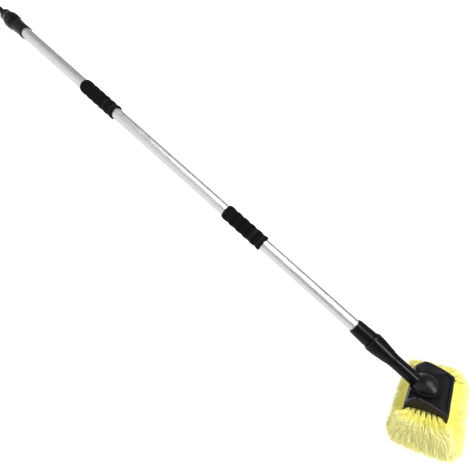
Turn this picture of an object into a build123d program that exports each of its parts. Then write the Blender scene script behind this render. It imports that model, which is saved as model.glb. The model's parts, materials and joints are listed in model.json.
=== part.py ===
from build123d import *
import math
import os

# Lengths are in millimetres and angles in degrees.
# The pole is built along X with zero at the face of the lock collar, the hose end on the minus side.
# The brush head is built in its own frame: X from heel to toe, Y along the block, Z up from the disc.

# Clearances
fit_gap = 0.05
running_gap = 0.05
tube_gap = 0.3
nut_gap = 0.3
overrun = 5.0

# Tubes
outer_tube_diameter = 25.0
outer_tube_wall = 1.2
inner_tube_wall = 1.2
bare_tube_length = 972.0
telescope_travel = 750.0
guide_overlap = 120.0

# End collar with its threaded spigot
end_collar_length = 33.5
end_collar_wall = 2.45
end_bulge = 0.5
end_bulge_length = 7.0
end_socket_depth = 26.0
tube_washer_thickness = 2.0
spigot_radius = 12.6
spigot_length = 12.0
spigot_bore_radius = 7.5

# Hose adapter with its nipple
adapter_gap = 1.2
adapter_skirt_length = 30.0
adapter_skirt_wall = 3.0
adapter_barrel_rise = 2.0
adapter_barrel_taper = 8.0
adapter_rib_height = 0.9
adapter_rib_width = 3.2
adapter_rib_count = 12
adapter_rib_margin = 2.0
adapter_washer_thickness = 2.5
adapter_neck_radius = 14.0
adapter_neck_length = 13.5
adapter_round = 2.5
nipple_collar_radius = 8.5
nipple_collar_length = 6.0
nipple_groove_radius = 6.0
nipple_groove_length = 3.5
nipple_nose_radius = 6.7
nipple_nose_length = 17.5
nipple_ring_groove_depth = 1.3
nipple_ring_groove_width = 2.6
nipple_ring_from_tip = 5.0
nipple_ring_proud = 0.35
nipple_ring_sides = 8
nipple_bore_radius = 4.2
nipple_tip_chamfer = 1.2

# Foam grips
grip_length = 102.0
grip_hump_count = 6
grip_wall = 2.4
grip_hump_height = 1.3
grip_lip = 1.3
grip_hump_slope = 4.5
lower_grip_start = 330.0
upper_grip_start = 763.0

# Lock collar and its threaded nose
lock_collar_length = 36.0
lock_collar_wall = 2.0
lock_collar_flare = 1.4
lock_collar_round = 1.2
lock_rib_height = 0.6
lock_rib_width = 2.4
lock_rib_count = 14
lock_rib_margin = 3.0
lock_socket_depth = 30.0
nose_wall = 2.6
nose_length = 22.0
collet_length = 15.0
collet_tip_wall = 1.1
collet_slot_width = 1.4
collet_slot_count = 6
collet_root_length = 4.0

# Cone nut
nut_face_gap = 1.5
nut_length = 48.5
nut_mouth_wall = 2.5
nut_belly_wall = 4.0
nut_waist_wall = 3.2
nut_tail_wall = 2.1
nut_shoulder_length = 4.5
nut_grip_length = 14.5
nut_tail_length = 1.6
nut_rib_height = 0.9
nut_rib_width = 2.2
nut_rib_count = 16
wiper_width = 4.0
wiper_depth = 1.9
wiper_from_tail = 4.0

# Guide at the inner tube's hidden end
plug_depth = 18.0
plug_flange_length = 2.0
plug_flange_inset = 0.2
plug_bore_radius = 5.0
guide_bush_length = 26.0
guide_journal_radius = 7.6
guide_end_gap = 0.3
guide_clip_width = 2.0
guide_clip_height = 2.2
guide_seal_width = 2.4
guide_seal_depth = 1.7
guide_seal_margin = 4.0

# Neck between the inner tube and the head
neck_face_gap = 0.7
neck_socket_depth = 39.8
neck_wall = 1.95
neck_bead_height = 0.6
neck_bead_length = 2.5
neck_groove_depth = 0.6
neck_groove_length = 2.0
neck_seal_thickness = 2.0
neck_reach = 61.3
neck_seat_rise = 4.0
neck_spigot_radius = 9.5
neck_spigot_length = 7.0
neck_bore_radius = 6.5
neck_ring_width = 2.0
neck_ring_height = 1.4

# Head cover
head_angle = 45.0
block_half_length = 46.0
end_wall = 5.0
heel_half_width = 35.0
heel_draft = 4.5
toe_half_width = 36.8
toe_draft = 3.2
skirt_depth = 27.0
heel_tooth_drop = 5.0
heel_shoulder_drop = 9.0
toe_shoulder_drop = 10.5
crest_offset = 9.0
crest_rise = 13.1
crest_round = 8.0
heel_arch_rise = 1.5
toe_arch_rise = 3.0
floor_drop = 2.0
floor_end_angle = 42.0
rim_step = 1.0
channel_start = 22.0
channel_drop = 8.2
channel_rim_width = 4.3
channel_rim_drop = 6.9
channel_slant = 1.5
channel_half_length = 37.0
floor_thickness = 4.0
chamber_rise = 4.5
chamber_half_length = 36.0
chamber_half_width = 22.0
pocket_half_width = 28.0
pocket_flare = 3.8
pocket_flare_height = 5.0
opening_half_width = 30.5
opening_side_drop = 17.0
opening_rise = 6.0
socket_offset = 14.0
disc_offset = 3.0
disc_radius = 28.0
disc_height = 2.5
disc_sink = 2.0
disc_flat = 26.5
dome_radius = 24.0
dome_offset = 4.0
dome_sink = 6.0
end_round = 3.0
edge_round = 3.5
boss_radius = 3.5

# Tuft plate, its gasket and screws
gasket_thickness = 1.5
gasket_width = 3.5
plate_thickness = 9.0
pad_thickness = 2.5
bevel_angle = 47.0
bevel_length = 7.0
screw_shank_radius = 1.3
screw_head_radius = 2.2
screw_head_height = 2.2
screw_column_shift = 3.5
screw_row_shift = 1.5
water_hole_radius = 1.2

# Bristles, planted as tufts on a grid and cut to one rounded shape
half_columns = 5
half_rows = 3
column_pitch = 7.5
row_pitch = 7.9
strands_per_tuft = 5
strand_sides = 3
strand_root_radius = 0.95
strand_tip_radius = 0.85
strand_embed = 1.0
tuft_root_radius = 2.0
tip_spread_share = 0.36
brush_half_length = 98.0
brush_half_width = 57.0
brush_depth = 60.0
brush_corner_share = 0.2
root_corner_share = 0.12
end_lift = 6.0
side_lift = 5.0
corner_power = 4
root_power = 10
lift_power = 6
floor_cut = 0.5

# Radii that follow from the tubes
outer_tube_radius = outer_tube_diameter / 2
outer_bore_radius = outer_tube_radius - outer_tube_wall
inner_tube_radius = outer_bore_radius - tube_gap
inner_bore_radius = inner_tube_radius - inner_tube_wall
tube_seat_radius = outer_tube_radius + fit_gap
slide_bore_radius = inner_tube_radius + tube_gap

# Stations along the pole
end_collar_x = -bare_tube_length
end_face_x = end_collar_x - end_collar_length
spigot_tip_x = end_face_x - spigot_length
adapter_mouth_x = end_face_x - adapter_gap
adapter_floor_x = spigot_tip_x - adapter_washer_thickness
adapter_shoulder_x = adapter_mouth_x - adapter_skirt_length
adapter_neck_x = adapter_shoulder_x - adapter_neck_length
nipple_collar_x = adapter_neck_x - nipple_collar_length
nipple_nose_x = nipple_collar_x - nipple_groove_length
nipple_tip_x = nipple_nose_x - nipple_nose_length
tube_rear_x = end_collar_x - end_socket_depth
nose_x = lock_collar_length
nose_tip_x = nose_x + nose_length
collet_tip_x = nose_tip_x + collet_length
nut_x = nose_x + nut_face_gap
nut_tail_x = nut_x + nut_length
neck_x = nut_tail_x + neck_face_gap
inner_front_x = neck_x + neck_socket_depth
inner_rear_x = -telescope_travel - guide_overlap
head_x = neck_x + neck_reach
neck_end_x = head_x - neck_seat_rise
neck_spigot_x = neck_end_x + neck_spigot_length

# Heights in the head
ledge_z = -floor_drop - floor_thickness - chamber_rise
chamber_z = ledge_z + chamber_rise
plate_top_z = ledge_z - gasket_thickness
plate_bottom_z = plate_top_z - plate_thickness
pad_bottom_z = plate_bottom_z - pad_thickness
pocket_half_length = block_half_length - end_wall
plate_half_length = pocket_half_length - fit_gap
plate_half_width = pocket_half_width - fit_gap
bevel_start = plate_half_length - bevel_length
bevel_slope = math.tan(math.radians(bevel_angle))


def turned(points):
    """Turn a closed outline of (x, radius) points about the pole's axis."""
    return revolve(make_face(Polyline(*points, close=True)), axis=Axis.X)


def ring(x_low, x_high, outer_radius, inner_radius):
    """A plain ring round the pole's axis."""
    corners = [
        (x_low, inner_radius),
        (x_high, inner_radius),
        (x_high, outer_radius),
        (x_low, outer_radius),
    ]
    return turned(corners)


def ribs(side, width, count):
    """Lengthwise ribs round the pole, from one rib's side face."""
    rib = extrude(side, amount=width / 2, both=True)
    step = 360 / count
    return [Rot(X=step * index) * rib for index in range(count)]


def in_head(shape):
    """Move a shape from the head's frame to the pole's."""
    cosine = math.cos(math.radians(head_angle))
    sine = math.sin(math.radians(head_angle))
    place = Location(
        (head_x + socket_offset * cosine, 0, socket_offset * sine),
        (0, -head_angle, 0),
    )
    return place * shape


def into_head(shape):
    """Move a shape from the pole's frame to the head's."""
    cosine = math.cos(math.radians(head_angle))
    sine = math.sin(math.radians(head_angle))
    place = Location(
        (head_x + socket_offset * cosine, 0, socket_offset * sine),
        (0, -head_angle, 0),
    )
    return place.inverse() * shape


# Tubes


def make_outer_tube():
    return ring(tube_rear_x, lock_socket_depth, outer_tube_radius, outer_bore_radius)


def make_inner_tube():
    return ring(inner_rear_x, inner_front_x, inner_tube_radius, inner_bore_radius)


# Hose end


def make_end_collar():
    """Collar pressed on the tube's hose end, with the spigot that the adapter screws onto."""
    collar_radius = tube_seat_radius + end_collar_wall
    bulge_radius = collar_radius + end_bulge
    seat_x = tube_rear_x - tube_washer_thickness
    outline = [
        (end_collar_x, tube_seat_radius),
        (end_collar_x, collar_radius - end_bulge),
        (end_collar_x - end_bulge, collar_radius),
        (end_face_x + end_bulge_length, collar_radius),
        (end_face_x + end_bulge_length - end_bulge, bulge_radius),
        (end_face_x + end_bulge, bulge_radius),
        (end_face_x, collar_radius),
        (end_face_x, spigot_radius),
        (spigot_tip_x, spigot_radius),
        (spigot_tip_x, spigot_bore_radius),
        (seat_x, spigot_bore_radius),
        (seat_x, tube_seat_radius),
    ]
    return turned(outline)


def make_tube_washer():
    """Seal between the outer tube's end and the bottom of the collar's socket."""
    return ring(
        tube_rear_x - tube_washer_thickness, tube_rear_x, outer_tube_radius, outer_bore_radius
    )


def barrel(low_x, high_x, edge_radius, rise, inner_radius):
    """Side view of a sleeve that swells between its two ends."""
    points = [
        (low_x, inner_radius),
        (low_x, edge_radius),
        (low_x + adapter_barrel_taper, edge_radius + rise),
        (high_x - adapter_barrel_taper, edge_radius + rise),
        (high_x, edge_radius),
        (high_x, inner_radius),
    ]
    return make_face(Polyline(*points, close=True))


def make_hose_adapter():
    """Ribbed nut and quick-connect nipple in one moulding."""
    thread_radius = spigot_radius + fit_gap
    skirt_radius = thread_radius + adapter_skirt_wall
    groove_x = nipple_tip_x + nipple_ring_from_tip
    groove_radius = nipple_nose_radius - nipple_ring_groove_depth
    outline = [
        (adapter_shoulder_x, adapter_neck_radius),
        (adapter_neck_x + adapter_round, adapter_neck_radius),
        (adapter_neck_x, adapter_neck_radius - adapter_round),
        (adapter_neck_x, nipple_collar_radius),
        (nipple_collar_x, nipple_collar_radius),
        (nipple_collar_x, nipple_groove_radius),
        (nipple_nose_x, nipple_groove_radius),
        (nipple_nose_x, nipple_nose_radius),
        (groove_x + nipple_ring_groove_width, nipple_nose_radius),
        (groove_x + nipple_ring_groove_width, groove_radius),
        (groove_x, groove_radius),
        (groove_x, nipple_nose_radius),
        (nipple_tip_x + nipple_tip_chamfer, nipple_nose_radius),
        (nipple_tip_x, nipple_nose_radius - nipple_tip_chamfer),
        (nipple_tip_x, nipple_bore_radius),
        (adapter_floor_x, nipple_bore_radius),
        (adapter_floor_x, adapter_neck_radius),
    ]
    skirt_side = barrel(
        adapter_shoulder_x, adapter_mouth_x, skirt_radius, adapter_barrel_rise, thread_radius
    )
    rib_side = barrel(
        adapter_shoulder_x + adapter_rib_margin,
        adapter_mouth_x - adapter_rib_margin,
        skirt_radius + adapter_rib_height / 2,
        adapter_barrel_rise + adapter_rib_height / 2,
        thread_radius + adapter_skirt_wall / 2,
    )
    skirt = revolve(skirt_side, axis=Axis.X)
    return turned(outline) + skirt + ribs(rib_side, adapter_rib_width, adapter_rib_count)


def make_adapter_washer():
    """Flat washer that the spigot is screwed down on."""
    return ring(adapter_floor_x, spigot_tip_x, spigot_radius - fit_gap, spigot_bore_radius)


def make_nipple_ring():
    """Sealing ring in the nipple's groove."""
    outer_radius = nipple_nose_radius + nipple_ring_proud
    inner_radius = nipple_nose_radius - nipple_ring_groove_depth + fit_gap
    wire_radius = (outer_radius - inner_radius) / 2
    centre_x = nipple_tip_x + nipple_ring_from_tip + nipple_ring_groove_width / 2
    section = RegularPolygon(
        wire_radius, nipple_ring_sides, major_radius=False, rotation=180 / nipple_ring_sides
    )
    return revolve(Pos(centre_x, inner_radius + wire_radius) * section, axis=Axis.X)


# Foam grips


def make_grip(head_end_x):
    """Foam sleeve with flat-topped humps, from its end nearest the head."""
    start_x = head_end_x - grip_length
    pitch = grip_length / grip_hump_count
    bore_radius = tube_seat_radius
    lip_radius = bore_radius + grip_lip
    valley_radius = bore_radius + grip_wall
    hump_radius = valley_radius + grip_hump_height
    outline = [(start_x, bore_radius), (start_x, lip_radius)]
    for index in range(grip_hump_count):
        low_x = start_x + pitch * index
        high_x = low_x + pitch
        is_last = index == grip_hump_count - 1
        outline.append((low_x + grip_hump_slope, hump_radius))
        outline.append((high_x - grip_hump_slope, hump_radius))
        outline.append((high_x, lip_radius if is_last else valley_radius))
    outline.append((head_end_x, bore_radius))
    return turned(outline)


# Twist lock


def make_lock_collar():
    """Ribbed collar on the outer tube's end, with the nose that the nut screws onto."""
    start_radius = tube_seat_radius + lock_collar_wall
    end_radius = start_radius + lock_collar_flare
    nose_radius = slide_bore_radius + nose_wall
    outline = [
        (0, tube_seat_radius),
        (0, start_radius - lock_collar_round),
        (lock_collar_round, start_radius),
        (nose_x, end_radius),
        (nose_x, nose_radius),
        (nose_tip_x, nose_radius),
        (nose_tip_x, slide_bore_radius),
        (lock_socket_depth, slide_bore_radius),
        (lock_socket_depth, tube_seat_radius),
    ]
    rib_outline = [
        (lock_rib_margin, start_radius - lock_rib_height),
        (lock_rib_margin, start_radius),
        (lock_rib_margin + lock_rib_height, start_radius + lock_rib_height),
        (nose_x - lock_rib_height, end_radius + lock_rib_height),
        (nose_x, end_radius),
        (nose_x, start_radius - lock_rib_height),
    ]
    side = make_face(Polyline(*rib_outline, close=True))
    return turned(outline) + ribs(side, lock_rib_width, lock_rib_count)


def make_lock_collet():
    """Slotted clamping cone between the collar's nose and the nut."""
    outline = [
        (nose_tip_x, slide_bore_radius),
        (collet_tip_x, slide_bore_radius),
        (collet_tip_x, slide_bore_radius + collet_tip_wall),
        (nose_tip_x, slide_bore_radius + nose_wall),
    ]
    slot_length = collet_length - collet_root_length
    slot = Pos(nose_tip_x + collet_root_length, 0, 0) * Box(
        slot_length + overrun,
        collet_slot_width,
        slide_bore_radius + nose_wall + overrun,
        align=(Align.MIN, Align.CENTER, Align.MIN),
    )
    step = 360 / collet_slot_count
    return turned(outline) - [Rot(X=step * index) * slot for index in range(collet_slot_count)]


def nut_bore_outline():
    """Points along the nut's inside, from its mouth to its tail."""
    thread_radius = slide_bore_radius + nose_wall + nut_gap
    cone_tip_radius = slide_bore_radius + collet_tip_wall + nut_gap
    wiper_low_x = nut_tail_x - wiper_from_tail - wiper_width
    wiper_high_x = nut_tail_x - wiper_from_tail
    return [
        (nut_x, thread_radius),
        (nose_tip_x, thread_radius),
        (collet_tip_x + nut_gap, cone_tip_radius),
        (collet_tip_x + nut_gap, slide_bore_radius),
        (wiper_low_x, slide_bore_radius),
        (wiper_low_x, slide_bore_radius + wiper_depth),
        (wiper_high_x, slide_bore_radius + wiper_depth),
        (wiper_high_x, slide_bore_radius),
        (nut_tail_x, slide_bore_radius),
    ]


def make_cone_nut():
    """Ribbed nut whose inner cone closes the collet."""
    thread_radius = slide_bore_radius + nose_wall + nut_gap
    mouth_radius = thread_radius + nut_mouth_wall
    belly_radius = thread_radius + nut_belly_wall
    waist_radius = thread_radius + nut_waist_wall
    tail_radius = slide_bore_radius + nut_tail_wall
    belly_x = nut_x + nut_shoulder_length
    waist_x = belly_x + nut_grip_length
    rim_x = nut_tail_x - nut_tail_length
    outline = nut_bore_outline() + [
        (nut_tail_x, tail_radius - nut_rib_height),
        (rim_x, tail_radius),
        (waist_x, waist_radius),
        (belly_x, belly_radius),
        (nut_x, mouth_radius),
    ]
    rib_outline = [
        (belly_x, belly_radius - nut_rib_height),
        (belly_x - nut_rib_height, belly_radius - nut_rib_height),
        (belly_x, belly_radius + nut_rib_height),
        (waist_x, waist_radius + nut_rib_height),
        (rim_x - nut_rib_height, tail_radius + nut_rib_height),
        (rim_x, tail_radius),
        (rim_x, tail_radius - nut_rib_height / 2),
        (waist_x, waist_radius - nut_rib_height),
    ]
    side = make_face(Polyline(*rib_outline, close=True))
    return turned(outline) + ribs(side, nut_rib_width, nut_rib_count)


def make_nut_wiper():
    """Wiper ring in the nut's tail, running on the inner tube."""
    return ring(
        nut_tail_x - wiper_from_tail - wiper_width + fit_gap,
        nut_tail_x - wiper_from_tail - fit_gap,
        slide_bore_radius + wiper_depth - fit_gap,
        inner_tube_radius + running_gap,
    )


# Guide inside the outer tube


def guide_stations():
    """Flange, journal and clip positions behind the inner tube."""
    flange_x = inner_rear_x - plug_flange_length
    journal_x = flange_x - guide_bush_length - 2 * guide_end_gap
    clip_x = journal_x - guide_clip_width
    return flange_x, journal_x, clip_x


def make_guide_plug():
    """Plug in the inner tube's end, with the journal that the bush turns on."""
    flange_x, journal_x, clip_x = guide_stations()
    neck_radius = guide_journal_radius - guide_clip_height / 2
    end_x = clip_x - guide_clip_width
    outline = [
        (inner_rear_x + plug_depth, plug_bore_radius),
        (inner_rear_x + plug_depth, inner_bore_radius - fit_gap),
        (inner_rear_x, inner_bore_radius - fit_gap),
        (inner_rear_x, inner_tube_radius - plug_flange_inset),
        (flange_x, inner_tube_radius - plug_flange_inset),
        (flange_x, guide_journal_radius),
        (journal_x, guide_journal_radius),
        (journal_x, neck_radius),
        (clip_x, neck_radius),
        (clip_x, guide_journal_radius),
        (end_x, guide_journal_radius),
        (end_x, plug_bore_radius),
    ]
    return turned(outline)


def make_guide_clip():
    """Retaining ring that keeps the bush on its journal."""
    flange_x, journal_x, clip_x = guide_stations()
    neck_radius = guide_journal_radius - guide_clip_height / 2
    return ring(
        clip_x + fit_gap,
        journal_x - fit_gap,
        neck_radius + guide_clip_height,
        neck_radius + fit_gap,
    )


def seal_starts():
    """Where the bush's two seal grooves begin."""
    flange_x, journal_x, clip_x = guide_stations()
    low_x = journal_x + guide_end_gap
    high_x = flange_x - guide_end_gap
    return [low_x + guide_seal_margin, high_x - guide_seal_margin - guide_seal_width]


def make_guide_bush():
    """Sliding bush that carries the inner tube's hidden end and its two seals."""
    flange_x, journal_x, clip_x = guide_stations()
    low_x = journal_x + guide_end_gap
    high_x = flange_x - guide_end_gap
    outer_radius = outer_bore_radius - running_gap
    bush = ring(low_x, high_x, outer_radius, guide_journal_radius + running_gap)
    for start_x in seal_starts():
        bush -= ring(
            start_x,
            start_x + guide_seal_width,
            outer_radius + overrun,
            outer_radius - guide_seal_depth,
        )
    return bush


def make_guide_seals():
    """Two rings in the bush's grooves that stop the water inside the outer tube."""
    outer_radius = outer_bore_radius - running_gap
    rings = []
    for start_x in seal_starts():
        rings.append(
            ring(
                start_x + fit_gap,
                start_x + guide_seal_width - fit_gap,
                outer_radius,
                outer_radius - guide_seal_depth + fit_gap,
            )
        )
    return Compound(children=rings)


# Neck


def make_neck():
    """Glossy connector from the inner tube into the head's socket."""
    bore_radius = inner_tube_radius + fit_gap
    outer_radius = bore_radius + neck_wall
    bead_x = neck_x + neck_bead_length
    groove_x = bead_x + neck_groove_length
    seat_x = inner_front_x + neck_seal_thickness
    outline = [
        (neck_x, bore_radius),
        (neck_x, outer_radius),
        (neck_x + neck_bead_height, outer_radius + neck_bead_height),
        (bead_x - neck_bead_height, outer_radius + neck_bead_height),
        (bead_x, outer_radius),
        (bead_x, outer_radius - neck_groove_depth),
        (groove_x, outer_radius - neck_groove_depth),
        (groove_x, outer_radius),
        (neck_end_x, outer_radius),
        (neck_end_x, neck_spigot_radius - neck_ring_height),
        (neck_end_x + neck_ring_width, neck_spigot_radius - neck_ring_height),
        (neck_end_x + neck_ring_width, neck_spigot_radius),
        (neck_spigot_x, neck_spigot_radius),
        (neck_spigot_x, neck_bore_radius),
        (seat_x, neck_bore_radius),
        (seat_x, bore_radius),
    ]
    return turned(outline)


def make_neck_washer():
    """Seal between the inner tube's end and the neck's shoulder."""
    return ring(
        inner_front_x, inner_front_x + neck_seal_thickness, inner_tube_radius, inner_bore_radius
    )


def make_neck_ring():
    """Sealing ring behind the neck's spigot."""
    return ring(
        neck_end_x + fit_gap,
        neck_end_x + neck_ring_width - fit_gap,
        neck_spigot_radius,
        neck_spigot_radius - neck_ring_height + fit_gap,
    )


# Head


def end_outline():
    """The block's arched end profile, heel on the left, where it ends in a tooth."""
    heel_foot = (-heel_half_width, -skirt_depth - heel_tooth_drop)
    heel_shoulder = (-heel_half_width + heel_draft, -heel_shoulder_drop)
    crest = (-crest_offset, crest_rise)
    toe_shoulder = (toe_half_width, -toe_shoulder_drop)
    toe_foot = (toe_half_width - toe_draft, -skirt_depth)
    tooth_root = (-opening_half_width, -skirt_depth)
    edges = [
        Line(heel_foot, heel_shoulder),
        SagittaArc(heel_shoulder, crest, heel_arch_rise),
        SagittaArc(crest, toe_shoulder, toe_arch_rise),
        Line(toe_shoulder, toe_foot),
        Line(toe_foot, tooth_root),
        Line(tooth_root, heel_foot),
    ]
    return make_face(edges)


def rounded_block():
    """The arched block before anything is cut out, its crest, shoulders and ends rounded."""
    block = extrude(Plane.XZ * end_outline(), amount=block_half_length, both=True)
    block = fillet(block.edges().filter_by(Axis.Y).sort_by(Axis.Z)[-1], crest_round)
    shoulders = block.edges().filter_by(Axis.Y).group_by(Axis.Z)[2:4]
    block = fillet([edge for group in shoulders for edge in group], edge_round)
    sides = block.faces().sort_by(Axis.Y)
    rims = sides[0].edges().sort_by(Axis.Z)[2:] + sides[-1].edges().sort_by(Axis.Z)[2:]
    return fillet(rims, end_round)


def sky_outline():
    """Everything above the arched end profile."""
    width = heel_half_width + toe_half_width + 2 * overrun
    top = 3 * crest_rise
    height = top + skirt_depth + heel_tooth_drop
    frame = Pos(0, top - height / 2) * Rectangle(2 * width, height)
    return frame - end_outline()


def above_floor(shape):
    """Only what lies above the head's floor."""
    reach = 4 * block_half_length
    keep = Pos(0, 0, -floor_drop) * Box(
        reach, reach, reach, align=(Align.CENTER, Align.CENTER, Align.MIN)
    )
    return shape & keep


def trough():
    """What is open over the floor: level in the middle, sloping up to the end walls' rims."""
    slope = math.tan(math.radians(floor_end_angle))
    run = (crest_rise + floor_drop - rim_step) / slope
    level = Box(
        4 * toe_half_width,
        2 * (pocket_half_length - run),
        2 * crest_rise + overrun,
        align=(Align.CENTER, Align.CENTER, Align.MIN),
    )
    rim = Pos(0, pocket_half_length, -rim_step) * (Plane.XZ * sky_outline())
    far_slope = extrude(rim, amount=math.hypot(run, run * slope), dir=(0, -1, -slope))
    far_slope = above_floor(far_slope)
    return [Pos(0, 0, -floor_drop) * level, far_slope, mirror(far_slope, about=Plane.XZ)]


def toe_channel():
    """Shallow channel between the floor and the toe's rim."""
    rim_x = toe_half_width - channel_rim_width
    points = [
        (channel_start, -floor_drop),
        (rim_x - channel_slant, -channel_drop),
        (rim_x, -channel_rim_drop),
        (rim_x, crest_rise),
        (channel_start, crest_rise),
    ]
    profile = make_face(Polyline(*points, close=True))
    return extrude(Plane.XZ * profile, amount=channel_half_length, both=True)


def pocket():
    """Room for the gasket, the plate and the tufts, flared below the plate."""
    low_z = -skirt_depth - overrun
    flare_z = -skirt_depth + pocket_flare_height
    wide = pocket_half_width + pocket_flare * (flare_z - low_z) / pocket_flare_height
    points = [
        (-pocket_half_width, ledge_z),
        (-pocket_half_width, flare_z),
        (-wide, low_z),
        (wide, low_z),
        (pocket_half_width, flare_z),
        (pocket_half_width, ledge_z),
    ]
    profile = make_face(Polyline(*points, close=True))
    return extrude(Plane.XZ * profile, amount=pocket_half_length, both=True)


def opening_outline():
    """The arched opening low in each end wall, where the end tufts come out."""
    bottom = -skirt_depth - overrun
    low_left = (-opening_half_width, bottom)
    high_left = (-opening_half_width, -opening_side_drop)
    high_right = (opening_half_width, -opening_side_drop)
    low_right = (opening_half_width, bottom)
    edges = [
        Line(low_left, high_left),
        SagittaArc(high_left, high_right, opening_rise),
        Line(high_right, low_right),
        Line(low_right, low_left),
    ]
    return make_face(edges)


def screw_places():
    """The four plate screws, between the tufts."""
    across = row_pitch * screw_row_shift
    along = column_pitch * screw_column_shift
    return [(sx * across, sy * along) for sx in (-1, 1) for sy in (-1, 1)]


def disc_and_dome():
    """The round plateau and the dome on it, cut off flat at the heel."""
    disc = Pos(-disc_offset, 0, -floor_drop - disc_sink) * Cylinder(
        disc_radius,
        disc_sink + floor_drop + disc_height,
        align=(Align.CENTER, Align.CENTER, Align.MIN),
    )
    ball = Pos(-dome_offset, 0, -dome_sink) * Sphere(dome_radius)
    keep = Pos(-disc_flat, 0, -floor_drop - disc_sink) * Box(
        4 * dome_radius,
        4 * dome_radius,
        2 * dome_radius,
        align=(Align.MIN, Align.CENTER, Align.MIN),
    )
    return (disc + ball) & keep


def make_head_cover():
    """Moulded cover: arched end walls, trough, disc and dome with the neck's socket."""
    body = rounded_block()
    for cut in trough():
        body -= cut
    body -= toe_channel()
    body -= pocket()
    body -= Pos(0, 0, -skirt_depth) * Box(
        4 * toe_half_width,
        2 * pocket_half_length,
        heel_tooth_drop + overrun,
        align=(Align.CENTER, Align.CENTER, Align.MAX),
    )
    body -= Pos(0, 0, chamber_z) * Box(
        2 * chamber_half_width,
        2 * chamber_half_length,
        chamber_rise + overrun,
        align=(Align.CENTER, Align.CENTER, Align.MAX),
    )
    opening = extrude(Plane.XZ * opening_outline(), amount=end_wall + overrun)
    body -= Pos(0, -pocket_half_length, 0) * opening
    body -= Pos(0, pocket_half_length + end_wall + overrun, 0) * opening
    body += disc_and_dome()
    boss_height = chamber_z - plate_top_z
    for x, y in screw_places():
        body += Pos(x, y, plate_top_z) * Cylinder(
            boss_radius, boss_height, align=(Align.CENTER, Align.CENTER, Align.MIN)
        )
    neck_radius = inner_tube_radius + fit_gap + neck_wall + fit_gap
    socket = ring(neck_x, neck_end_x, neck_radius, 0)
    passage = ring(neck_end_x, neck_spigot_x + overrun, neck_spigot_radius + fit_gap, 0)
    body -= into_head(socket + passage)
    return body


def make_head_gasket():
    """Flat gasket between the cover's ledge and the plate."""
    outer = Box(
        2 * plate_half_width,
        2 * plate_half_length,
        gasket_thickness,
        align=(Align.CENTER, Align.CENTER, Align.MIN),
    )
    inner = Box(
        2 * (plate_half_width - gasket_width),
        2 * (plate_half_length - gasket_width),
        gasket_thickness,
        align=(Align.CENTER, Align.CENTER, Align.MIN),
    )
    return Pos(0, 0, plate_top_z) * (outer - inner)


def plate_side(top_z, bottom_z):
    """Side view of a layer with bevelled ends, drawn in Y and Z."""
    rise = bevel_length * bevel_slope
    points = [
        (-plate_half_length, top_z),
        (-plate_half_length, bottom_z + rise),
        (-bevel_start, bottom_z),
        (bevel_start, bottom_z),
        (plate_half_length, bottom_z + rise),
        (plate_half_length, top_z),
    ]
    return make_face(Polyline(*points, close=True))


def water_hole_places():
    """Outlets between the middle tufts."""
    places = []
    for row in (-1, 1):
        for column in (-2, 0, 2):
            places.append((row * row_pitch / 2, (column + row / 2) * column_pitch))
    return places


def make_tuft_plate():
    """Plate that carries the tufts, with its screw and water holes."""
    side = Plane.YZ * plate_side(plate_top_z, plate_bottom_z)
    plate = extrude(side, amount=plate_half_width, both=True)
    for x, y in screw_places():
        plate -= Pos(x, y, plate_top_z) * Cylinder(
            screw_shank_radius + fit_gap,
            plate_thickness + overrun,
            align=(Align.CENTER, Align.CENTER, Align.MAX),
        )
        plate -= Pos(x, y, plate_bottom_z) * Cylinder(
            screw_head_radius + fit_gap, 2 * screw_head_height
        )
    for x, y in water_hole_places():
        plate -= Pos(x, y, plate_top_z) * Cylinder(water_hole_radius, 4 * plate_thickness)
    return plate


def make_plate_screws():
    """Four screws from below, heads sunk in the plate."""
    screws = []
    head_z = plate_bottom_z + screw_head_height
    for x, y in screw_places():
        head = Cylinder(
            screw_head_radius, screw_head_height, align=(Align.CENTER, Align.CENTER, Align.MAX)
        )
        shank = Cylinder(
            screw_shank_radius,
            plate_top_z - head_z,
            align=(Align.CENTER, Align.CENTER, Align.MIN),
        )
        screws.append(Pos(x, y, head_z) * (head + shank))
    return Compound(children=screws)


# Bristles


def pad_surface(y):
    """Height of the pads' lower face at a place along the block."""
    return pad_bottom_z + max(0, abs(y) - bevel_start) * bevel_slope


def root_place(column, row, turn):
    """Where one strand leaves its pad."""
    share = column / half_columns
    narrowing = 1 - root_corner_share * share**root_power
    x = row * row_pitch * narrowing + tuft_root_radius * math.cos(turn)
    y = column * column_pitch + tuft_root_radius * math.sin(turn)
    return Vector(x, y, pad_surface(y) + strand_embed)


def tip_place(column, row, turn):
    """Where the same strand ends on the brush's rounded outer shape."""
    along = (column + tip_spread_share * math.sin(turn)) / (half_columns + tip_spread_share)
    across = (row + tip_spread_share * math.cos(turn)) / (half_rows + tip_spread_share)
    x = brush_half_width * across * (1 - brush_corner_share * along**corner_power)
    y = brush_half_length * along * (1 - brush_corner_share * across**corner_power)
    lift = end_lift * along**lift_power + side_lift * across**lift_power
    return Vector(x, y, lift - brush_depth)


def tuft_turns():
    """Directions of the strands round a tuft."""
    return [2 * math.pi * index / strands_per_tuft for index in range(strands_per_tuft)]


def make_strand(root, tip):
    root_face = Pos(root.X, root.Y, root.Z) * RegularPolygon(strand_root_radius, strand_sides)
    tip_face = Pos(tip.X, tip.Y, tip.Z) * RegularPolygon(strand_tip_radius, strand_sides)
    return loft([root_face, tip_face], ruled=True)


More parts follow.
